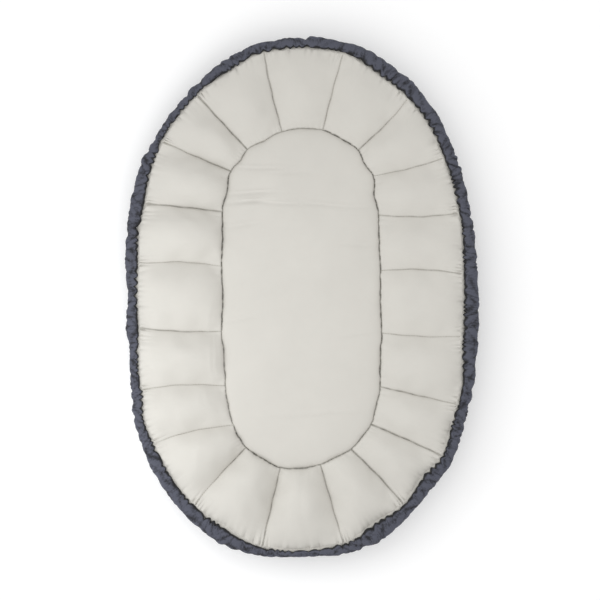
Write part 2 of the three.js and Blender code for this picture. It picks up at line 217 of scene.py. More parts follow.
# The stage: the lights' names, places, watts and sides in metres, and the picture's own measures
STUDIO_LIGHTS = (
    ("near_side", (-0.3, 0.0, 0.5), 0.46, 0.35),
    ("near_foot", (-0.45, -0.3, 0.4), 0.82, 0.35),
    ("overhead", (0, 0, 0.8), 0.4, 0.5),
)
LIGHT_COLOUR = (0.96, 0.98, 1.0)
SKY_STRENGTH = 0.925
FLOOR_HALF = 6.0
FLOOR_GAP = 0.2 * MM  # room between the floor and the nest
PICTURE_WIDTH = 1.0404  # metres across the picture at the height of the rim
PICTURE_PIXELS = 600
PICTURE_SHIFT = (-1.6, -1.9)  # where the picture's middle lies, in its pixels from the nest's
CAMERA_RISE = 3.0  # from the rim up to the camera


def hex_colour(code):
    """Turns an sRGB hex value into a linear colour with alpha."""
    parts = [int(code[i:i + 2], 16) / 255 for i in (1, 3, 5)]
    linear = [p / 12.92 if p <= 0.04045 else ((p + 0.055) / 1.055) ** 2.4 for p in parts]
    return (*linear, 1.0)


def length(name, description, default):
    """A size that a user may change, in metres."""
    return bpy.props.FloatProperty(
        name=name, description=description, default=default, subtype="DISTANCE", unit="LENGTH")


def colour(name, description, code):
    """A finish's colour that a user may change."""
    return bpy.props.FloatVectorProperty(
        name=name, description=description, default=hex_colour(code), size=4, subtype="COLOR")


class NestShape(bpy.types.PropertyGroup):
    """Sizes of the soft parts."""

    loft_above: length("Loft above", "How far the filling lifts the liner over its seams", 14 * MM)
    loft_below: length("Loft below", "How far the filling pushes the cover under its seams", 27 * MM)
    floor_clearance: length("Floor clearance", "Least room between the cover and the floor", 1 * MM)
    cloth: length("Cloth", "Thickness of one layer of cotton", 1.2 * MM)
    sewn_gap: length("Sewn gap", "Room between two layers that are sewn together", 0.3 * MM)
    groove: length("Groove", "How far a seam's stitches pull the cloth down", 2.4 * MM)
    casing_width: length("Casing width", "Mean width of the gathered rim casing", 21.5 * MM)
    casing_depth: length("Casing depth", "Height of the gathered rim casing", 14.5 * MM)
    ruffle: length("Ruffle", "How far the casing's bunches stand out", 2.3 * MM)
    pleat: length("Pleat", "Depth of the small folds on the casing", 0.8 * MM)
    gather: length("Gather", "Depth of the puckers where cloth runs into the rim", 2.4 * MM)
    stitch: length("Stitch", "Spacing of the stitches", 4.5 * MM)
    thread: length("Thread", "Thickness of the sewing thread", 0.6 * MM)


class NestColours(bpy.types.PropertyGroup):
    """Colours of the finishes and the floor."""

    cream: colour("Cream cotton", "Liner and mattress", "#C9C6BF")
    # Painted shade: the cream is mixed towards this colour where the crease field says shade falls, in
    # seams, creases, pleats, the hem and the underside
    cream_shade: colour("Cream shade", "Cloth down in a sewn crease", "#38342A")
    slate: colour("Slate cotton", "Rim, cover and base", "#26272F")
    # Painted highlight: the slate goes towards this colour on the crests of its folds
    slate_highlight: colour("Slate highlight", "Where the folds are rubbed", "#4C4E5A")
    # Painted shade: the casing goes almost black towards this colour along its inner edge, in the seam
    # beside the liner
    slate_shade: colour("Slate shade", "Down in the seam between the rim and the liner", "#08080B")
    thread: colour("Thread", "Sewing thread in the quilted seams", "#B2AE9E")
    floor: colour("Floor", "Studio floor", "#EEEEEE")


# Fades and swings, from 0 to 1


def eased(part):
    """A part of a way that starts and stops gently."""
    return part * part * (3 - 2 * part)


def crowded(step, share):
    """Steps from 0 to 1 that lie closer together near both ends."""
    return step - share * np.sin(TURN * step) / TURN


def bell(distance, width):
    """One at a line and less on both sides of it, over about the width."""
    return np.exp(-((distance / width) ** 2))


def fade_from(distance, reach):
    """One at a line and less away from it, over about the reach."""
    return np.exp(-np.maximum(distance, 0) / reach)


def beside_line(distance, start, reach):
    """Nothing at a line, then full just beside it, then less again over the reach."""
    return (1 - fade_from(distance, start)) * fade_from(distance, reach)


# Curves in plan


def along_list(shares, places, turn=0):
    """Value of a closed list at places that are counted in its steps, with what a full turn adds."""
    closed = np.append(shares, shares[0] + turn)
    return np.interp(places % len(shares), np.arange(len(shares) + 1), closed)


def smooth_list(shares, places):
    """As along_list, but with an easy swing from each value to the next."""
    step = np.floor(places)
    return along_list(shares, step + eased(places - step))


def seam_to_seam(at_seams, between, places):
    """Swings from a value at each seam to one half way to the next seam, and on to that seam's."""
    return smooth_list(np.stack([at_seams, between], -1).ravel(), 2 * places)


def mattress_edge(share, inset=0.0):
    """Points on the mattress's edge, two half circles and two straights, or at an inset from it."""
    radius, straight = MATTRESS_RADIUS, MATTRESS_STRAIGHT
    quarter = math.pi * radius / 2
    marks = np.cumsum([0, quarter, straight, 2 * quarter, straight, quarter])
    way = (share % 1.0) * marks[-1]
    angle = np.interp(way, marks, np.array([0, 1, 1, 3, 3, 4]) * math.pi / 2)
    middle = np.interp(way, marks, np.array([1, 1, -1, -1, 1, 1]) * straight / 2)
    out = np.stack([-np.sin(angle), np.cos(angle)], -1)
    centre = np.stack([np.zeros_like(middle), middle], -1)
    closed = np.concatenate([SEAM_FLOOR_SHARES[-1:] - 1, SEAM_FLOOR_SHARES, SEAM_FLOOR_SHARES[:1] + 1])
    place = np.interp(share % 1.0, closed, np.arange(-1, CHANNELS + 1)) % CHANNELS
    wander = radius * seam_to_seam(EDGE_SEAM_SHARES, EDGE_MIDDLE_SHARES, place)
    wander = (wander + EDGE_WOBBLE * waves(share, 44, 91)) * (1 - max(inset, 0.0) / radius) ** 2
    return MATTRESS_MIDDLE + centre + out * (radius - inset + wander)[:, None]


def rim_oval(places, half):
    """Points on the seam at the rim, an oval that the seams pull a little out of its even shape."""
    angle = along_list(SEAM_RIM_SHARES, places, 1) * TURN
    way = np.stack([-np.sin(angle), np.cos(angle)], -1)
    reach = (np.abs(way / half) ** RIM_SQUARENESS).sum(-1) ** (-1 / RIM_SQUARENESS)
    bulge = RIM_BULGE_SHARES[places.astype(int) % CHANNELS] * np.sin(math.pi * (places % 1.0)) ** 2
    pull = (smooth_list(RIM_WANDER_SHARES, places) + bulge) * half[0]
    return MATTRESS_MIDDLE + way * (reach + pull)[:, None]


def fit_rim():
    """Half sizes of the even oval that give the rim seam the size it has in the frame."""
    places = np.linspace(0, CHANNELS, 2000, endpoint=False)
    wanted = (LINER_SPAN / 2 - HEM_DEPTH) * RIM_STRETCH
    half = wanted
    for _ in range(4):
        half = half + wanted - np.ptp(rim_oval(places, half), axis=0) / 2
    return half


RIM_HALF = fit_rim()


def rim_seam(places):
    """Points on the rim seam and the way out of it."""
    reach = 0.12  # how far to either side the rim's direction is taken, in channels
    ahead = rim_oval((places + reach) % CHANNELS, RIM_HALF)
    behind = rim_oval((places - reach) % CHANNELS, RIM_HALF)
    run = ahead - behind
    run = run / np.linalg.norm(run, axis=-1, keepdims=True)
    return rim_oval(places, RIM_HALF), np.stack([run[:, 1], -run[:, 0]], -1)


def casing_width(places, mean):
    """Width of the rim's casing, which swings from seam to middle to seam."""
    return mean * seam_to_seam(CASING_SEAM_SHARES, CASING_MIDDLE_SHARES, places)


def casing_middle(places, mean):
    """How far out of the rim seam the middle of the casing stands."""
    return CASING_START + casing_width(places, mean) / 2


def ring_places(cells):
    """Places round the nest, counted in channels and closer together near the seams."""
    across = crowded(np.arange(cells) / cells, SEAM_CROWDING)
    return (np.arange(CHANNELS)[:, None] + across).ravel()


def waves(turn, cycles, seed, count=6):
    """A closed random wave round the nest, from about -1 to 1, with about so many crests."""
    random = np.random.RandomState(seed)
    total = np.zeros_like(turn)
    for _ in range(count):
        whole = round(cycles * random.uniform(0.6, 1.45))
        total = total + np.sin(TURN * (whole * turn + random.uniform()))
    return total / math.sqrt(count)


def pleat_phase(turn, cycles, seed):
    """Phase of unevenly spaced pleats round the nest, one for each half turn of the phase."""
    random = np.random.RandomState(seed)
    shift = waves(turn, cycles / 5, seed + 1) * 0.55 / cycles
    return math.pi * (round(cycles) * (turn + shift) + random.uniform())


def ridges(turn, cycles, seed):
    """Pleats with round crests and sharp valleys between them, from -1 to 1."""
    return 2 * np.abs(np.cos(pleat_phase(turn, cycles, seed))) ** 0.8 - 1


def leaves(turn, cycles, seed):
    """Bunches that lean one way like overlapping leaves, with a step after each, from -1 to 1."""
    way = pleat_phase(turn, cycles, seed) / math.pi % 1.0
    lean = np.clip(0.62 + 0.3 * waves(turn, cycles / 6, seed + 2), 0.25, 0.85)
    rise = np.where(way < lean, way / lean, (1 - way) / (1 - lean))
    return 2 * np.sin(math.pi / 2 * rise) ** 0.9 - 1


def leaning(turn, cycles, seed, lean, from_rim):
    """Turns for pleats that lean sideways, by a share of a turn in each 30 mm in from the rim."""
    return turn + waves(turn, cycles, seed) * lean * (from_rim / (30 * MM))


# Surfaces, as grids of columns round the nest and rows across it


def channel_plan(places, along, gap):
    """Plan of the ring of channels, from the mattress's edge to the rim seam."""
    bow = along_list(SEAM_BOW_SHARES, places)
    phase = waves(places / CHANNELS, 11, 92)
    rows = []
    for part in along:
        wobble = SEAM_WOBBLE * np.sin(TURN * (3 * part + 0.8 * phase)) * math.sin(math.pi * part)
        bent = (places + bow * math.sin(math.pi * part) + wobble) % CHANNELS
        edge = mattress_edge(along_list(SEAM_FLOOR_SHARES, bent, 1), -gap)
        rows.append(edge + (rim_oval(bent, RIM_HALF) - edge) * part)
    return np.stack(rows, 1)


def raised(plan, height):
    """Points of a plan at their heights."""
    return np.concatenate([plan, np.broadcast_to(height, plan.shape[:-1])[..., None]], -1)


def plan_reach(grid):
    """How far each column of a grid reaches in plan, from its first row to its last."""
    return np.linalg.norm(grid[:, -1, :2] - grid[:, 0, :2], axis=-1)[:, None]


def edge_rings(share, insets, height):
    """Rings of points from the mattress's edge inwards, at their heights."""
    return raised(np.stack([mattress_edge(share, inset) for inset in insets], 1), height)


def pad_drop(inset):
    """How far the mattress's underside has come down from its sewn edge, from 0 to 1 on the floor."""
    return eased(np.clip(inset / (20 * MM), 0, 1))


def edge_darkness(turn, channel, mean, cycles, seed):
    """How dark the painted shade in the crease round the mattress is along it, broken here and there."""
    return np.clip(mean + 0.7 * waves(turn, cycles, seed), 0.15, 1.1) * EDGE_SHADE_SHARES[channel]


def seam_plane(along):
    """Height of the plane of the seams on the way from the mattress to the rim."""
    return SEAM_HEIGHT + (RIM_HEIGHT - SEAM_HEIGHT) * along


def crown(places):
    """Roundness across a channel, none at its seams."""
    off = np.abs(2 * (places % 1.0) - 1)
    return 1 - off ** 2.1


def swell(along):
    """Roundness along a channel, fullest past the middle and drawn in at both ends."""
    return 1.32 * (1 - (1 - along) ** 1.9) * (1 - along ** 5)


def dome(along):
    """Roundness of a channel's top along it, which stands up beside the mattress and stays full."""
    shoulder = 0.22 * (1 - np.exp(-along / 0.014)) + 0.78 * (1 - np.exp(-along / 0.17))
    return 1.15 * shoulder * (1 - along ** 3.2)


def with_midpoints(values, axis):
    """Adds a smooth midpoint between neighbours on one axis."""
    values = np.moveaxis(values, axis, 0)
    before = np.concatenate([2 * values[:1] - values[1:2], values[:-2]])
    after = np.concatenate([values[2:], 2 * values[-1:] - values[-2:-1]])
    full = np.empty((2 * len(values) - 1,) + values.shape[1:])
    full[0::2] = values
    full[1::2] = (9 * (values[:-1] + values[1:]) - before - after) / 16
    return np.moveaxis(full, 0, axis)


def refine_ring(grid):
    """Doubles a ring's columns and rows, and keeps the seams between the channels sharp."""
    cells = len(grid) // CHANNELS
    closed = np.concatenate([grid, grid[:1]])
    parts = []
    for channel in range(CHANNELS):
        part = closed[channel * cells:(channel + 1) * cells + 1]
        parts.append(with_midpoints(part, 0)[:-1])
    return with_midpoints(np.concatenate(parts), 1)


def grid_quads(columns, rows, closed_rows):
    """Faces of a grid that closes on itself round the nest, and across it too if closed_rows."""
    column = np.arange(columns)[:, None]
    row = np.arange(rows if closed_rows else rows - 1)[None, :]
    after = (column + 1) % columns
    above = (row + 1) % rows
    corners = [column * rows + row, column * rows + above, after * rows + above, after * rows + row]
    return np.stack(np.broadcast_arrays(*corners), -1).reshape(-1, 4)


def grid_cloth_map(grid):
    """Metres along the cloth for the corners of each face, so that a weave keeps its scale."""
    columns, rows = grid.shape[:2]
    wrapped = np.concatenate([grid, grid[:1]])
    steps = np.linalg.norm(np.diff(wrapped, axis=0), axis=-1).mean(1)
    across = np.concatenate([[0], np.cumsum(steps)])
    rises = np.linalg.norm(np.diff(wrapped, axis=1, append=wrapped[:, :1]), axis=-1)
    up = np.concatenate([np.zeros((columns + 1, 1)), np.cumsum(rises, axis=1)], axis=1)
    column = np.arange(columns)[:, None]
    row = np.arange(rows)[None, :]
    corners = []
    for c, r in ((column, row), (column, row + 1), (column + 1, row + 1), (column + 1, row)):
        corners.append(np.stack(np.broadcast_arrays(across[c], up[c, r]), -1))
    return np.stack(corners, 2)


def new_object(name, mesh):
    """Puts a mesh in the scene as an object."""
    piece = bpy.data.objects.new(name, mesh)
    bpy.context.scene.collection.objects.link(piece)
    return piece


def add_cloth(name, grid, faces, cloth_map, fields):
    """Makes a piece from a grid of points, with a cloth map for its faces' corners and its fields."""
    mesh = bpy.data.meshes.new(name)
    mesh.from_pydata(grid.reshape(-1, 3).tolist(), [], faces)
    layer = mesh.uv_layers.new(name="cloth")
    layer.data.foreach_set("uv", cloth_map.reshape(-1).astype(np.float32))
    for key, values in fields.items():
        field = mesh.attributes.new(key, "FLOAT", "POINT")
        field.data.foreach_set("value", values.reshape(-1).astype(np.float32))
    mesh.shade_smooth()
    mesh.validate()
    return new_object(name, mesh)


def add_hoop(name, grid, **fields):
    """Makes a closed piece from a grid whose rows go all the way round its section."""
    quads = grid_quads(*grid.shape[:2], True).tolist()
    return add_cloth(name, grid, quads, grid_cloth_map(grid), fields)


def add_pad(name, top, low, **fields):
    """Closes upper and lower rings of points into one piece, with both middles filled."""
    grid = np.concatenate([top[:, ::-1], low], 1)
    columns, rows = grid.shape[:2]
    faces = grid_quads(columns, rows, False).tolist()
    for row, order in ((0, 1), (rows - 1, -1)):
        for here in range(columns // 2 - 1):
            facing = [here, here + 1, (columns - here - 1) % columns, (columns - here) % columns]
            faces.append([column * rows + row for column in dict.fromkeys(facing)][::order])
    corners = [corner for face in faces for corner in face]
    return add_cloth(name, grid, faces, grid.reshape(-1, 3)[corners, :2], fields)


def finish_piece(piece, maker, slot, *nodes):
    """Gives a piece its finish and its body, and hides the frame's parts that it stands for."""
    piece.data.materials.append(finish_named(maker))
    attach(piece, BODY)
    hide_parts(*nodes)


def inflate(grid, held, pressure, cap):
    """Blows up a grid of cloth that is held along its sewn lines, and gives the grid back."""
    columns, rows = grid.shape[:2]
    mesh = bpy.data.meshes.new("cloth_trial")
    mesh.from_pydata(grid.reshape(-1, 3).tolist(), [], grid_quads(columns, rows, False).tolist())
    trial = new_object("cloth_trial", mesh)
    group = trial.vertex_groups.new(name="sewn")
    group.add(np.flatnonzero(held.reshape(-1)).tolist(), 1.0, "REPLACE")
    cloth = trial.modifiers.new("cloth", "CLOTH")
    for key, value in CLOTH_SETTINGS.items():
        setattr(cloth.settings, key, value)
    cloth.settings.uniform_pressure_force = pressure
    cloth.settings.effector_weights.gravity = 0
    cloth.collision_settings.use_collision = False
    cloth.point_cache.frame_start = 1
    cloth.point_cache.frame_end = CLOTH_FRAMES
    for step in range(1, CLOTH_FRAMES + 1):
        bpy.context.scene.frame_set(step)
    posed = trial.evaluated_get(bpy.context.evaluated_depsgraph_get())
    found = np.empty(columns * rows * 3, np.float32)
    posed.data.vertices.foreach_get("co", found)
    bpy.data.objects.remove(trial)
    bpy.data.meshes.remove(mesh)
    bpy.context.scene.frame_set(1)
    move = found.reshape(grid.shape) - grid
    size = np.linalg.norm(move, axis=-1, keepdims=True)
    move = move * np.minimum(1, cap / np.maximum(size, 1e-9))
    for _ in range(CLOTH_SMOOTHINGS):
        move = (np.roll(move, 1, 0) + 2 * move + np.roll(move, -1, 0)) / 4
        move[:, 1:-1] = (move[:, :-2] + 2 * move[:, 1:-1] + move[:, 2:]) / 4
        move[held] = 0
    return grid + move


# Finishes


def add_node(tree, kind, settings=None, links=None):
    """Adds a shader node. settings are properties or input values, and links are output sockets."""
    node = tree.nodes.new(kind)
    for key, value in (settings or {}).items():
        if isinstance(key, int) or key in node.inputs:
            node.inputs[key].default_value = value
        else:
            setattr(node, key, value)
    for key, socket in (links or {}).items():
        tree.links.new(socket, node.inputs[key])
    return node


def new_material(name, finish):
    """A material with its finish's values, and its tree, its principled shader and its coordinates."""
    material = bpy.data.materials.new(name)
    material.use_nodes = True
    tree = material.node_tree
    shader = tree.nodes["Principled BSDF"]
    for key, value in finish.items():
        shader.inputs[key].default_value = value
    return material, tree, shader, add_node(tree, "ShaderNodeTexCoord")


def toned(colour, share):
    """A colour made darker or lighter by a share."""
    return (*[min(1.0, part * share) for part in colour[:3]], 1.0)


def weave_height(tree, threads, spacing):
    """Height of a plain weave of threads on the piece's own cloth map."""
    size = 1 / spacing
    scaled = add_node(
        tree, "ShaderNodeMapping", {"Scale": (size, size, size)}, {"Vector": threads.outputs["UV"]})
    warp, weft = [
        add_node(
            tree, "ShaderNodeTexWave",
            {"wave_type": "BANDS", "bands_direction": way, "Scale": 0.5, "Distortion": 0.6,
             "Detail": 1.0, "Detail Scale": 0.7},
            {"Vector": scaled.outputs["Vector"]})
        for way in "XY"]
    return add_node(
        tree, "ShaderNodeMath", {"operation": "MULTIPLY"},
        {0: warp.outputs["Fac"], 1: weft.outputs["Fac"]})


def dress_cloth(tree, shader, tint, field, shade, relief):
    """Gives a cloth its tint, mixed towards a painted shade colour where its own field says shade falls,
    and layers of relief.
    """
    shade_amount = add_node(tree, "ShaderNodeAttribute", {"attribute_name": field})
    shaded_tint = add_node(
        tree, "ShaderNodeMix", {"data_type": "RGBA", 7: shade},
        {0: shade_amount.outputs["Fac"], 6: tint.outputs[2]})
    tree.links.new(shaded_tint.outputs[2], shader.inputs["Base Color"])
    under = {}
    for height, strength, depth in relief:
        bump = add_node(
            tree, "ShaderNodeBump", {"Strength": strength, "Distance": depth},
            {"Height": height, **under})
        under = {"Normal": bump.outputs["Normal"]}
    tree.links.new(bump.outputs["Normal"], shader.inputs["Normal"])


def cream_cotton(colours):
    """Quilted cotton sateen: a fine close weave with a soft, faintly silky bloom."""
    material, tree, shader, threads = new_material(
        "quilted_cotton_sateen", {"Roughness": 0.78, "Sheen Weight": 0.12, "Sheen Roughness": 0.5})
    # Threads 0.3 mm apart, drawn 1.1 mm apart so that the grain shows
    weave = weave_height(tree, threads, 1.1 * MM)
    # Patches of uneven bleach, about 70 mm across
    mottle = add_node(
        tree, "ShaderNodeTexNoise", {"Scale": 14.0, "Detail": 3.0, "Roughness": 0.55},
        {"Vector": threads.outputs["Object"]})
    tint = add_node(
        tree, "ShaderNodeMix",
        {"data_type": "RGBA", 6: toned(colours.cream, 0.94), 7: toned(colours.cream, 1.05)},
        {0: mottle.outputs["Fac"]})
    # Crumples about 10 mm across
    crumple = add_node(
        tree, "ShaderNodeTexNoise", {"Scale": 95.0, "Detail": 4.0, "Roughness": 0.6},
        {"Vector": threads.outputs["Object"]})
    # Painted shade: the tint goes towards cream_shade by the crease field
    dress_cloth(tree, shader, tint, "crease", colours.cream_shade, [
        (crumple.outputs["Fac"], 0.35, 0.6 * MM),
        (weave.outputs["Value"], 0.3, 0.15 * MM),
    ])
    return material


def slate_cotton(colours):
    """Washed cotton twill, gathered: painted shade in its folds and a painted highlight on their crests,
    with washed streaks of random tone.
    """
    material, tree, shader, threads = new_material(
        "washed_slate_twill", {"Roughness": 0.82, "Sheen Weight": 0.1, "Sheen Roughness": 0.45})
    # Threads 0.5 mm apart, drawn 1.4 mm apart so that the twill shows
    weave = weave_height(tree, threads, 1.4 * MM)
    # Slubs about 3 mm across
    slub = add_node(
        tree, "ShaderNodeTexNoise", {"Scale": 320.0, "Detail": 4.0, "Roughness": 0.7},
        {"Vector": threads.outputs["Object"]})
    # Streaks 3 mm wide and 11 mm long, slanted as a twill's ribs are
    slanted = add_node(
        tree, "ShaderNodeMapping", {"Rotation": (0, 0, 0.7), "Scale": (330, 90, 1)},
        {"Vector": threads.outputs["UV"]})
    wash = add_node(
        tree, "ShaderNodeTexNoise", {"Scale": 1.0, "Detail": 3.0, "Roughness": 0.65},
        {"Vector": slanted.outputs["Vector"]})
    spread = add_node(
        tree, "ShaderNodeMath", {"operation": "MULTIPLY"},
        {0: slub.outputs["Fac"], 1: wash.outputs["Fac"]})
    # Painted highlight and shade: the ridge field lifts the fold crests towards slate_highlight and
    # leaves the folds dark, and the washed streaks add random tone
    fold = add_node(tree, "ShaderNodeAttribute", {"attribute_name": "ridge"})
    fold_light_and_wash = add_node(
        tree, "ShaderNodeMath", {"operation": "MULTIPLY_ADD", 1: 0.45},
        {0: fold.outputs["Fac"], 2: spread.outputs["Value"]})
    level = add_node(
        tree, "ShaderNodeMapRange", {"From Min": 0.38, "From Max": 0.62},
        {"Value": fold_light_and_wash.outputs["Value"]})
    tint = add_node(
        tree, "ShaderNodeMix",
        {"data_type": "RGBA", 6: toned(colours.slate, 0.6), 7: colours.slate_highlight},
        {0: level.outputs["Result"]})
    # Painted shade: the tint goes towards slate_shade by the shade field
    dress_cloth(tree, shader, tint, "shade", colours.slate_shade, [
        (slub.outputs["Fac"], 0.4, 0.8 * MM),
        (weave.outputs["Value"], 0.5, 0.2 * MM),
    ])
    return material


def spun_thread(colours):
    """Spun polyester sewing thread: smoother than the cloth, with a slight gleam."""
    material, tree, shader, place = new_material("spun_polyester_thread", {"Roughness": 0.55})
    # Twist 0.4 mm long, drawn 1 mm long
    twist = add_node(
        tree, "ShaderNodeTexNoise", {"Scale": 1000.0, "Detail": 1.0},
        {"Vector": place.outputs["Object"]})
    tint = add_node(
        tree, "ShaderNodeMix",
        {"data_type": "RGBA", 6: toned(colours.thread, 0.8), 7: colours.thread},
        {0: twist.outputs["Fac"]})
    tree.links.new(tint.outputs[2], shader.inputs["Base Color"])
    return material


def studio_floor(colours):
    """Opal acrylic light table: pale and faintly lit from below, so that shadows on it stay light."""
    material, tree, shader, place = new_material("opal_light_table", {
        "Base Color": colours.floor, "Emission Color": colours.floor, "Emission Strength": 0.233,
        "Roughness": 0.95,
    })
    # Cast grain 2.5 mm across
    grain = add_node(
        tree, "ShaderNodeTexNoise", {"Scale": 400.0, "Detail": 2.0},
        {"Vector": place.outputs["Object"]})
    bump = add_node(
        tree, "ShaderNodeBump", {"Strength": 0.05, "Distance": 0.1 * MM},
        {"Height": grain.outputs["Fac"]})
    tree.links.new(bump.outputs["Normal"], shader.inputs["Normal"])
    return material


MADE = {}


def finish_named(maker):
    """The material that a maker gives, made once."""
    found = bpy.data.materials.get(MADE.get(maker.__name__, ""))
    if found is None:
        found = maker(bpy.context.scene.nest_colours)
        MADE[maker.__name__] = found.name
    return found


# Pieces


def under_side(shape, places, along):
    """The filling's lower surface, pressed flat where it nears the floor."""
    loft = shape.loft_below * swell(along) + SEAM_LIFT * (1 - along)
    height = seam_plane(along) - shape.sewn_gap / 2 - loft * crown(places)[:, None]
    lowest = shape.floor_clearance + shape.cloth
    room = height - lowest
    soft = 4 * MM  # the room in which the floor begins to press
    pressed = lowest + np.where(room > soft, room, soft * np.exp(np.minimum(room, soft) / soft - 1))
    return raised(channel_plan(places, along, shape.sewn_gap / 2), pressed)


def liner_top(shape, places, along):
    """The liner's upper surface before it is blown up."""
    full = CHANNEL_LOFT_SHARES[places.astype(int)] * crown(places)
    loft = shape.loft_above * full[:, None] * dome(along)
    height = seam_plane(along) + shape.sewn_gap / 2 + shape.cloth + loft
    return raised(channel_plan(places, along, shape.sewn_gap / 2), height)


class NEST_OT_channel_liner(bpy.types.Operator):
    """Makes the quilted cream ring with its filling, blown up between its seams"""

    bl_idname = "nest.channel_liner"
    bl_label = "Channel liner"

    def execute(self, context):
        shape = context.scene.nest_shape
        cells, rows, low_rows = 30, 33, 12
        along = crowded(np.linspace(0, 1, rows), 0.55)
        places = ring_places(cells)
        grid = liner_top(shape, places, along)
        held = np.zeros(grid.shape[:2], bool)
        held[::cells] = True
        held[:, [0, -1]] = True
        grid = inflate(grid, held, FILL_PRESSURE, MOST_SWELLING)
        grid = refine_ring(grid)
        places = ring_places(2 * cells)
        along = with_midpoints(along, 0)
        grid, crease = self.pucker(shape, grid, places, along)
        rim, out = rim_seam(places)
        hem = raised(rim + out * HEM_DEPTH, grid[0, -1, 2])
        low = under_side(shape, places, np.linspace(1, 0, low_rows))
        whole = np.concatenate([grid, hem[:, None], low], 1)
        # Painted shade on the hem beside the casing and on the underside, where little light reaches
        under_shade = 0.3
        hem_shade = np.clip(1.5 * crease[:, -1:], under_shade, 0.8)
        crease = np.concatenate([crease, hem_shade, np.full(low.shape[:2], under_shade)], 1)
        piece = add_hoop("quilted_liner", whole, crease=crease)
        fills = [f"channel_fill_{number + 1:02d}" for number in range(CHANNELS)]
        finish_piece(piece, cream_cotton, "cream_cotton", "channel_liner", *fills)
        return {"FINISHED"}

    def pucker(self, shape, grid, places, along):
        """Adds the grooves at the seams, the gathers at the rim and the small puckers beside both, and
        gives the painted shade for the crease field.
        """
        turn = places[:, None] / CHANNELS
        reach = plan_reach(grid)
        from_rim, from_edge = (1 - along) * reach, along * reach
        nearest = np.rint(places).astype(int)
        seam = grid[(nearest * (len(places) // CHANNELS)) % len(places)]
        from_seam = np.linalg.norm((grid - seam)[..., :2], axis=-1)
        number = nearest % CHANNELS
        outward = eased(along)
        depth = SEAM_INNER_SHARES[number][:, None] * (1 - outward)
        depth = depth + SEAM_OUTER_SHARES[number][:, None] * outward
        groove_width, sewn_edge, lump_height = 2 * MM, 0.8 * MM, 0.6 * MM
        knot_place, knot_width, knot_depth = 5 * MM, 2.6 * MM, 3 * MM
        knot = bell(from_seam, knot_width) * bell(from_rim - knot_place, knot_place)
        knot = SEAM_TACK_SHARES[number][:, None] * knot
        rim_pull, rim_shade = self.rim_gathers(shape, turn, from_rim)
        lift = rim_pull - shape.groove * depth * fade_from(from_seam, groove_width)
        lift = lift + self.edge_tucks(shape, turn, from_edge)
        lift = lift + self.seam_puckers(shape, turn, along, from_seam) * depth
        lift = lift - knot_depth * knot
        lumps = waves(turn, 34, 31) * waves(along, 2.2, 32)
        lift = lift + lump_height * lumps * crown(places)[:, None] * swell(along)
        lift = lift + self.drag_folds(places, along, reach)
        grid[..., 2] += lift * (1 - fade_from(np.minimum(from_rim, from_edge), sewn_edge))
        # Painted shade: dark lines along the seams and round the mattress's edge, a band at the rim
        # seam, the rim pleats' valleys and the tacked seam ends
        uneven = 0.8 + 0.25 * waves(along, 9, 34) * np.cos(2.4 * nearest)[:, None]
        seam_shade = 0.65 * depth * uneven * bell(from_seam, (0.7 + 0.6 * depth) * MM)
        darkness = edge_darkness(turn[:, 0], places.astype(int), 0.95, 110, 33)
        edge_shade = darkness[:, None] * bell(from_edge, 1.25 * MM)
        rim_seam_shade = 0.25 * fade_from(from_rim, 1 * MM)
        dark = np.maximum.reduce([seam_shade, edge_shade, rim_seam_shade, rim_shade, 0.25 * knot])
        return grid, np.clip(dark, 0, 1)

    def rim_gathers(self, shape, turn, from_rim):
        """Short pleats that run in from the rim, with painted shade between their crests and a broad
        painted shade where the liner dips under the casing.
        """
        foot = bell(turn - FOOT_END[0], FOOT_END[1])
        tucked = bell(turn - TUCKED_END[0], TUCKED_END[1])
        rounded = crown(turn * CHANNELS)
        off_seam = 0.5 - np.abs(turn * CHANNELS % 1.0 - 0.5)
        long = 0.5 + 0.5 * waves(turn, 45, 12)
        longer = np.clip(long, 0, 1)
        strength = 0.7 + 0.6 * longer + 0.6 * foot
        strength = strength + (0.15 + 0.7 * foot) * bell(off_seam, 0.09)
        fade = beside_line(from_rim, 1.5 * MM, 9 * MM) * (1 + 0.4 * long)
        bent = leaning(turn, 60, 11, 0.0012, from_rim)
        pleats = ridges(bent, 230, 13)
        fine = ridges(bent, 430, 14)
        pull = shape.gather * strength * fade * (0.75 * pleats + 0.25 * fine)
        roll = (2.5 * foot + 2 * tucked) * MM * rounded
        pull = pull - roll * fade_from(from_rim, 15 * MM)
        run = (3.5 + 4 * longer + 5 * foot) * MM
        # Painted shade in the pleats' valleys, and a broad one beside the casing where the liner dips
        # under it
        shade = (0.28 - 0.1 * foot) * strength * np.clip(-pleats, 0, 1) ** 1.5 * fade_from(from_rim, run)
        tuck_shade = 0.34 * tucked * rounded * fade_from(from_rim, 9 * MM)
        return pull, np.maximum(shade * (1 - 0.7 * tucked), tuck_shade)

    def drag_folds(self, places, along, reach):
        """The larger soft folds in the liner, each where its own tension draws the cloth."""
        total = np.zeros((len(places), len(along)))
        sag = 400 * MM  # how round a fold bends along its run
        for place, part, angle, half, width, height in LINER_FOLDS:
            away = (places - place + CHANNELS / 2) % CHANNELS - CHANNELS / 2
            x = away[:, None] * MEAN_CHANNEL
            y = (along - part) * reach
            cosine, sine = math.cos(math.radians(angle)), math.sin(math.radians(angle))
            run = x * cosine + y * sine
            side = y * cosine - x * sine + run * run / sag
            total += height * MM * bell(run, half * MM) * bell(side, width * MM)
        return total * crown(places)[:, None] ** 0.3

    def edge_tucks(self, shape, turn, from_edge):
        """Short tucks where the cloth is eased on to the mattress's edge."""
        return 0.4 * shape.gather * beside_line(from_edge, 2 * MM, 7 * MM) * ridges(turn, 150, 17)

    def seam_puckers(self, shape, turn, along, from_seam):
        """Small ripples that run away from the seams."""
        ripple = np.sin(3.2 * waves(along, 8, 21) + 2.6 * waves(turn, 12, 22))
        return 0.22 * shape.gather * beside_line(from_seam, 2 * MM, 5 * MM) * ripple


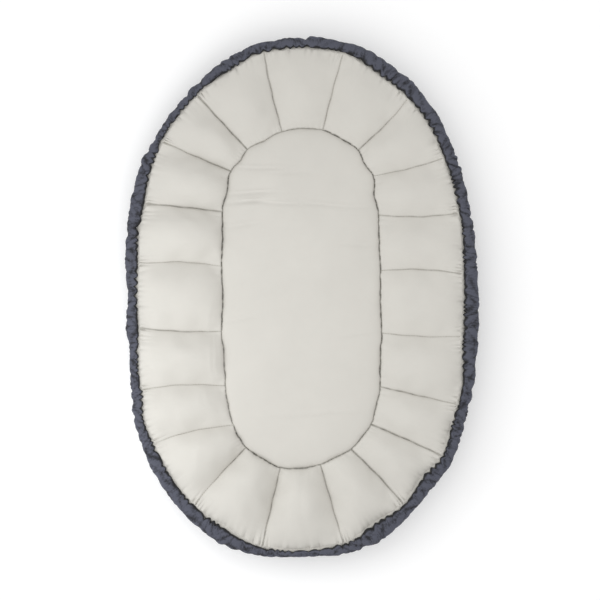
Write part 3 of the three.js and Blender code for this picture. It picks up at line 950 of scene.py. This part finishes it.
class NEST_OT_mattress(bpy.types.Operator):
    """Makes the thin mattress with its crown, drawn-in edge and faint wrinkles"""

    bl_idname = "nest.mattress"
    bl_label = "Mattress"

    def execute(self, context):
        shape = context.scene.nest_shape
        columns, rings = 520, 46
        share = np.arange(columns) / columns
        last_ring = MATTRESS_RADIUS - 3 * MM
        inset = np.linspace(0, 1, rings) ** 1.6 * last_ring + PAD_INSETS[0]
        rise = 1 - 0.6 * fade_from(inset, 5 * MM) - 0.4 * fade_from(inset, 22 * MM)
        seam = SEAM_HEIGHT + shape.cloth
        top = edge_rings(share, inset, seam + (MATTRESS_HEIGHT - seam) * rise)
        drawn_lines = self.wrinkles(top)
        top[..., 2] += drawn_lines + self.pinches(inset, share[:, None])
        edge, lowest = SEAM_HEIGHT - 0.2 * MM, 2 * MM
        low = edge_rings(share, PAD_INSETS, edge + (lowest - edge) * pad_drop(PAD_INSETS))
        crease = np.pad(self.edge_and_wrinkle_shade(inset, share, drawn_lines)[:, ::-1], ((0, 0), (0, low.shape[1])))
        piece = add_pad("mattress", top, low, crease=crease)
        finish_piece(piece, cream_cotton, "cream_cotton", "centre_panel", "mattress_core")
        return {"FINISHED"}

    def edge_and_wrinkle_shade(self, inset, share, drawn_lines):
        """Painted shade: how dark the cloth is painted in the crease at its edge and down in its drag
        lines.
        """
        reach = np.maximum(1.2 + 0.5 * waves(share, 50, 43), 0.5) * MM
        channel = np.searchsorted(SEAM_FLOOR_SHARES, share) - 1
        darkness = edge_darkness(share, channel, 1, 84, 44)
        at_edge = darkness[:, None] * bell(inset, reach[:, None])
        return np.minimum(np.maximum(at_edge, 0.09 * np.clip(-drawn_lines / MM, 0, 1.5)), 1)

    def wrinkles(self, top):
        """Faint drag lines across the cloth."""
        x = top[..., 0] - MATTRESS_MIDDLE[0]
        y = top[..., 1]
        lines = np.zeros_like(x)
        waver, waver_run, ridge_width, hollow_width = 1.2 * MM, 19 * MM, 2.3 * MM, 4 * MM
        for place, middle, reach, slope, height in WRINKLES:
            run = x - middle * MM
            side = y - place * MM - slope * run - waver * np.sin(run / waver_run)
            wave = bell(side, ridge_width) - 0.6 * bell(side + hollow_width, hollow_width)
            lines += height * MM * wave * bell(run, reach * MM)
        return lines

    def pinches(self, inset, share):
        """Small pinches along the mattress's edge."""
        height = 1.1 * MM * (0.35 + 0.3 * waves(share, 14, 42))
        return height * ridges(share, 110, 41) * beside_line(inset, 2 * MM, 7 * MM)


class NEST_OT_outer_cover(bpy.types.Operator):
    """Makes the slate underside of the channels, quilted through and gathered at the rim"""

    bl_idname = "nest.outer_cover"
    bl_label = "Outer cover"

    def execute(self, context):
        shape = context.scene.nest_shape
        cells, rows = 42, 30
        along = crowded(np.linspace(0, 1, rows), 0.5)
        places = ring_places(cells)
        inner = under_side(shape, places, along)
        inner[..., 2] -= shape.sewn_gap
        from_rim = (1 - along) * plan_reach(inner)
        fade = beside_line(from_rim, 2 * MM, 24 * MM)
        skew = leaning(places[:, None] / CHANNELS, 50, 51, 0.0015, from_rim)
        pleats = fade * (0.7 * ridges(skew, 150, 52) + 0.3 * ridges(skew, 330, 53))
        outer = inner.copy()
        outer[..., 2] -= shape.cloth + shape.gather * (1 + pleats) * fade
        outer[..., 2] = np.maximum(outer[..., 2], FLOOR_ROOM)
        rim, out = rim_seam(places)
        hems = [raised(rim + out * HEM_DEPTH, side[:, -1, 2])[:, None] for side in (inner, outer)]
        whole = np.concatenate([inner, *hems, outer[:, ::-1]], 1)
        # Painted highlight on the pleats' crests and painted shade between them, through the slate's
        # ridge field
        ridge = np.clip(0.5 + 0.5 * pleats, 0, 1)
        ridge = np.concatenate([ridge, ridge[:, [-1, -1]], ridge[:, ::-1]], 1)
        piece = add_hoop("outer_cover_cloth", whole, ridge=ridge)
        finish_piece(piece, slate_cotton, "slate_cotton", "outer_cover")
        return {"FINISHED"}


class NEST_OT_base_panel(bpy.types.Operator):
    """Makes the slate panel that closes the bottom under the mattress"""

    bl_idname = "nest.base_panel"
    bl_label = "Base panel"

    def execute(self, context):
        shape = context.scene.nest_shape
        columns = 360
        share = np.arange(columns) / columns
        drop = pad_drop(PAD_INSETS)
        height = (SEAM_HEIGHT - shape.cloth - shape.sewn_gap) * (1 - drop)
        pucker = (ridges(share, 90, 61) - 1)[:, None] * (drop * (1 - drop) * 4)
        pucker_height = 0.4 * MM
        under = edge_rings(share, PAD_INSETS, height + pucker_height * pucker)
        over = under + [0, 0, shape.cloth]
        # An even ridge field, so the flat base gets no painted highlight or shade
        fold_light_and_wash = np.full((columns, 2 * len(PAD_INSETS)), 0.45)
        piece = add_pad("base_cloth", over, under, ridge=fold_light_and_wash)
        finish_piece(piece, slate_cotton, "slate_cotton", "base_panel")
        return {"FINISHED"}


class NEST_OT_rim_casing(bpy.types.Operator):
    """Makes the gathered slate casing round the rim, with its bunches and the folds between them"""

    bl_idname = "nest.rim_casing"
    bl_label = "Rim casing"

    def execute(self, context):
        shape = context.scene.nest_shape
        columns, sides = 2400, 34
        places = np.linspace(0, CHANNELS, columns, endpoint=False)
        turn = places / CHANNELS
        angle = math.pi - TURN * np.arange(sides) / sides
        rim, out = rim_seam(places)
        share = np.clip(0.5 + 0.6 * waves(turn, 13, 77), 0, 1)
        calm = np.clip(1.05 + 0.45 * waves(turn, 24, 78), 0.5, 1.5)
        broad = 0.65 * share * leaves(turn, 50, 71)
        middling = 0.6 * (1 - share) * leaves(turn, 82, 85)
        swollen = calm * (broad + middling + 0.2 * ridges(turn, 170, 72))
        scallop = np.clip(0.8 + 0.6 * waves(turn, 17, 79), 0.2, 1.5) * ridges(turn, 165, 80)
        crest, narrowest = 2.9 * MM, 2.8 * MM
        inner = crest - shape.ruffle * (0.25 * swollen + 1.1 * scallop)
        inner = np.minimum(inner, casing_middle(places, shape.casing_width) - narrowest)
        outer = casing_width(places, shape.casing_width) + shape.ruffle * swollen
        middle, half = (inner + outer) / 2, (outer - inner) / 2
        tall = shape.casing_depth / 2 * (0.55 + 0.45 * 2 * half / shape.casing_width)
        squareness = 0.8
        cosine, sine = [np.sign(w) * np.abs(w) ** squareness for w in (np.cos(angle), np.sin(angle))]
        folds, ridge = self.folds(shape, turn[:, None], angle)
        bulge = calm[:, None] * folds
        depth = middle[:, None] + (half[:, None] + 0.5 * bulge) * cosine
        height = RIM_HEIGHT + (tall[:, None] + bulge) * sine
        rise_and_fall = 0.8 * MM
        height = height + rise_and_fall * waves(turn, 34, 81)[:, None]
        grid = raised(rim[:, None] + out[:, None] * depth[..., None], height)
        # Painted shade: a near-black band on the casing's inner side, where shade falls in the seam
        # against the liner
        brink = 0.68 + 0.1 * waves(turn, 130, 82)[:, None]
        shade = np.clip((-cosine - brink) / 0.12, 0, 1) * (sine > -0.4)
        piece = add_hoop("gathered_casing", grid, ridge=ridge, shade=shade)
        finish_piece(piece, slate_cotton, "slate_cotton", "rim_casing")
        return {"FINISHED"}

    def folds(self, shape, turn, angle):
        """Small folds that run slantwise over the casing between where the elastic draws it in, and the
        ridge field that paints their crests lighter and their valleys darker as highlight and shade.
        """
        across = (1 - np.cos(angle)) / 2
        slant = 0.009 * waves(turn, 22, 73)
        coarse = ridges(turn + slant * across, 120, 74)
        other = ridges(turn - (slant + 0.002) * across, 90, 75)
        fine = ridges(turn + 1.4 * slant * across, 300, 76)
        first = np.clip(0.5 + 0.7 * waves(turn, 40, 83), 0, 1)
        mixed = first * coarse + (1 - first) * other
        wound = 1.3 * across + 0.8 * waves(turn, 30, 84)
        rope = 2 * np.abs(np.cos(math.pi * wound)) ** 0.7 - 1
        height = shape.pleat * (0.55 * mixed + 0.7 * rope + 0.2 * fine)
        return height, np.clip(0.5 + 0.22 * mixed + 0.22 * rope + 0.1 * fine, 0, 1)


class NEST_OT_rim_elastic(bpy.types.Operator):
    """Makes the flat ribbed elastic inside the rim's tunnel"""

    bl_idname = "nest.rim_elastic"
    bl_label = "Rim elastic"

    def execute(self, context):
        shape = context.scene.nest_shape
        columns = 1200
        half_width, half_thickness, rib = 3.2 * MM, 0.7 * MM, 0.15 * MM
        places = np.linspace(0, CHANNELS, columns, endpoint=False)
        rim, out = rim_seam(places)
        middle = casing_middle(places, shape.casing_width)
        levels = (0, 0.33, 0.66, 1)
        corners = [(-1, up) for up in levels] + [(1, up) for up in reversed(levels)]
        rows = []
        for side, up in corners:
            ribbed = rib * math.cos(up * 3 * math.pi) * side
            plan = rim + out * (middle + side * half_thickness + ribbed)[:, None]
            rows.append(raised(plan, RIM_HEIGHT + half_width * (2 * up - 1)))
        piece = add_hoop("ribbed_elastic", np.stack(rows, 1))
        finish_piece(piece, spun_thread, "elastic", "rim_elastic")
        return {"FINISHED"}


class NEST_OT_stitches(bpy.types.Operator):
    """Sews the stitches along the quilted seams and round the mattress's edge"""

    bl_idname = "nest.stitches"
    bl_label = "Stitches"

    def execute(self, context):
        shape = context.scene.nest_shape
        paths = self.seam_paths(shape)
        edges = []
        start = 0
        for path in paths:
            edges += [(start + i, start + i + 1) for i in range(len(path) - 1)]
            start += len(path)
        mesh = bpy.data.meshes.new("seam_stitches")
        mesh.from_pydata(np.concatenate(paths).tolist(), edges, [])
        line = new_object("seam_stitches", mesh)
        tree = self.stitch_tree()
        modifier = line.modifiers.new("stitches", "NODES")
        modifier.node_group = tree
        values = {"Spacing": shape.stitch, "Thickness": shape.thread,
                  "Material": finish_named(spun_thread)}
        for item in tree.interface.items_tree:
            if item.name in values:
                modifier[item.identifier] = values[item.name]
        graph = bpy.context.evaluated_depsgraph_get()
        baked = bpy.data.meshes.new_from_object(line.evaluated_get(graph))
        line.modifiers.clear()
        line.data = baked
        bpy.data.meshes.remove(mesh)
        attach(line, BODY)
        return {"FINISHED"}

    def seam_paths(self, shape):
        """Runs of points along each seam between channels and round the mattress."""
        above_seam = shape.cloth + shape.thread / 2
        along = np.linspace(0.02, 0.97, 60)
        plans = channel_plan(np.arange(float(CHANNELS)), along, 0.0)
        paths = list(raised(plans, seam_plane(along) + above_seam))
        paths.append(raised(mattress_edge(np.linspace(0, 1, 800)), SEAM_HEIGHT + above_seam))
        return paths

    def stitch_tree(self):
        """Nodes that lay one stitch after another along each run."""
        tree = bpy.data.node_groups.new("stitch_runs", "GeometryNodeTree")
        sockets = (
            ("Geometry", "INPUT", "NodeSocketGeometry"),
            ("Spacing", "INPUT", "NodeSocketFloat"),
            ("Thickness", "INPUT", "NodeSocketFloat"),
            ("Material", "INPUT", "NodeSocketMaterial"),
            ("Geometry", "OUTPUT", "NodeSocketGeometry"),
        )
        for name, way, kind in sockets:
            tree.interface.new_socket(name, in_out=way, socket_type=kind)
        given = tree.nodes.new("NodeGroupInput").outputs
        curve = add_node(tree, "GeometryNodeMeshToCurve", {}, {"Mesh": given["Geometry"]})
        steps = add_node(
            tree, "GeometryNodeResampleCurve", {"mode": "LENGTH"},
            {"Curve": curve.outputs["Curve"], "Length": given["Spacing"]})
        tangent = add_node(tree, "GeometryNodeInputTangent")
        facing = add_node(
            tree, "FunctionNodeAlignRotationToVector", {"axis": "X"},
            {"Vector": tangent.outputs["Tangent"]})
        bead = add_node(
            tree, "GeometryNodeMeshUVSphere", {"Segments": 6, "Rings": 5, "Radius": 0.5})
        # A stitch shows over this share of its spacing, and is as wide and as high as the thread
        shown = 0.72
        span = add_node(
            tree, "ShaderNodeMath", {"operation": "MULTIPLY", 1: shown}, {0: given["Spacing"]})
        size = add_node(
            tree, "ShaderNodeCombineXYZ", {},
            {"X": span.outputs["Value"], "Y": given["Thickness"], "Z": given["Thickness"]})
        laid = add_node(
            tree, "GeometryNodeInstanceOnPoints", {},
            {"Points": steps.outputs["Curve"], "Instance": bead.outputs["Mesh"],
             "Rotation": facing.outputs["Rotation"], "Scale": size.outputs["Vector"]})
        real = add_node(
            tree, "GeometryNodeRealizeInstances", {}, {"Geometry": laid.outputs["Instances"]})
        smooth = add_node(
            tree, "GeometryNodeSetShadeSmooth", {}, {"Geometry": real.outputs["Geometry"]})
        finished = add_node(
            tree, "GeometryNodeSetMaterial", {},
            {"Geometry": smooth.outputs["Geometry"], "Material": given["Material"]})
        add_node(tree, "NodeGroupOutput", {}, {"Geometry": finished.outputs["Geometry"]})
        return tree


def add_light(name, place, energy, side):
    """Adds a soft square studio light that faces the floor under the nest's middle."""
    data = bpy.data.lights.new(name, "AREA")
    data.energy = energy
    data.color = LIGHT_COLOUR
    data.size = side
    light = bpy.data.objects.new(name, data)
    light.location = place
    light.rotation_euler = (Vector() - Vector(place)).to_track_quat("-Z", "Y").to_euler()
    light.visible_camera = False
    bpy.context.scene.collection.objects.link(light)


class NEST_OT_stage(bpy.types.Operator):
    """Lays the pale floor, hangs the soft lights and points the camera straight down"""

    bl_idname = "nest.stage"
    bl_label = "Stage"

    def execute(self, context):
        scene = context.scene
        mesh = bpy.data.meshes.new("floor")
        corners = [(x * FLOOR_HALF, y * FLOOR_HALF, 0) for x, y in ((-1, -1), (1, -1), (1, 1), (-1, 1))]
        mesh.from_pydata(corners, [], [(0, 1, 2, 3)])
        mesh.materials.append(finish_named(studio_floor))
        floor = new_object("floor", mesh)
        floor.location.z = CAD_BOX[0].z - FLOOR_GAP
        for light in STUDIO_LIGHTS:
            add_light(*light)
        world = bpy.data.worlds.new("studio")
        world.use_nodes = True
        sky = world.node_tree.nodes["Background"].inputs
        sky["Color"].default_value = (1, 1, 1, 1)
        sky["Strength"].default_value = SKY_STRENGTH
        scene.world = world
        scene.view_settings.view_transform = "Standard"
        self.add_camera(scene)
        return {"FINISHED"}

    def add_camera(self, scene):
        """Looks straight down, so that one side of the picture spans the width that it shows."""
        data = bpy.data.cameras.new("camera")
        data.sensor_width = 36.0
        data.lens = data.sensor_width * CAMERA_RISE / PICTURE_WIDTH
        camera = bpy.data.objects.new("camera", data)
        x, y = [shift * PICTURE_WIDTH / PICTURE_PIXELS for shift in PICTURE_SHIFT]
        camera.location = (x, y, RIM_HEIGHT + CAMERA_RISE)
        scene.collection.objects.link(camera)
        scene.camera = camera


PIECES = (
    NEST_OT_channel_liner,
    NEST_OT_mattress,
    NEST_OT_outer_cover,
    NEST_OT_base_panel,
    NEST_OT_rim_casing,
    NEST_OT_rim_elastic,
    NEST_OT_stitches,
    NEST_OT_stage,
)


class NEST_PT_sidebar(bpy.types.Panel):
    """Lists the sizes, the colours and the pieces of the nest"""

    bl_idname = "NEST_PT_sidebar"
    bl_label = "Infant lounger"
    bl_space_type = "VIEW_3D"
    bl_region_type = "UI"
    bl_category = "Nest"

    def draw(self, context):
        for group in (context.scene.nest_shape, context.scene.nest_colours):
            column = self.layout.column()
            for key in type(group).__annotations__:
                column.prop(group, key)
        for operator in PIECES:
            self.layout.operator(operator.bl_idname)


CLASSES = (NestShape, NestColours, *PIECES, NEST_PT_sidebar)


def register():
    for cls in CLASSES:
        bpy.utils.register_class(cls)
    bpy.types.Scene.nest_shape = bpy.props.PointerProperty(type=NestShape)
    bpy.types.Scene.nest_colours = bpy.props.PointerProperty(type=NestColours)


def unregister():
    del bpy.types.Scene.nest_colours
    del bpy.types.Scene.nest_shape
    for cls in reversed(CLASSES):
        bpy.utils.unregister_class(cls)


def main():
    register()
    for piece in PIECES:
        getattr(bpy.ops.nest, piece.bl_idname.removeprefix("nest."))()


if __name__ == "__main__":
    main()
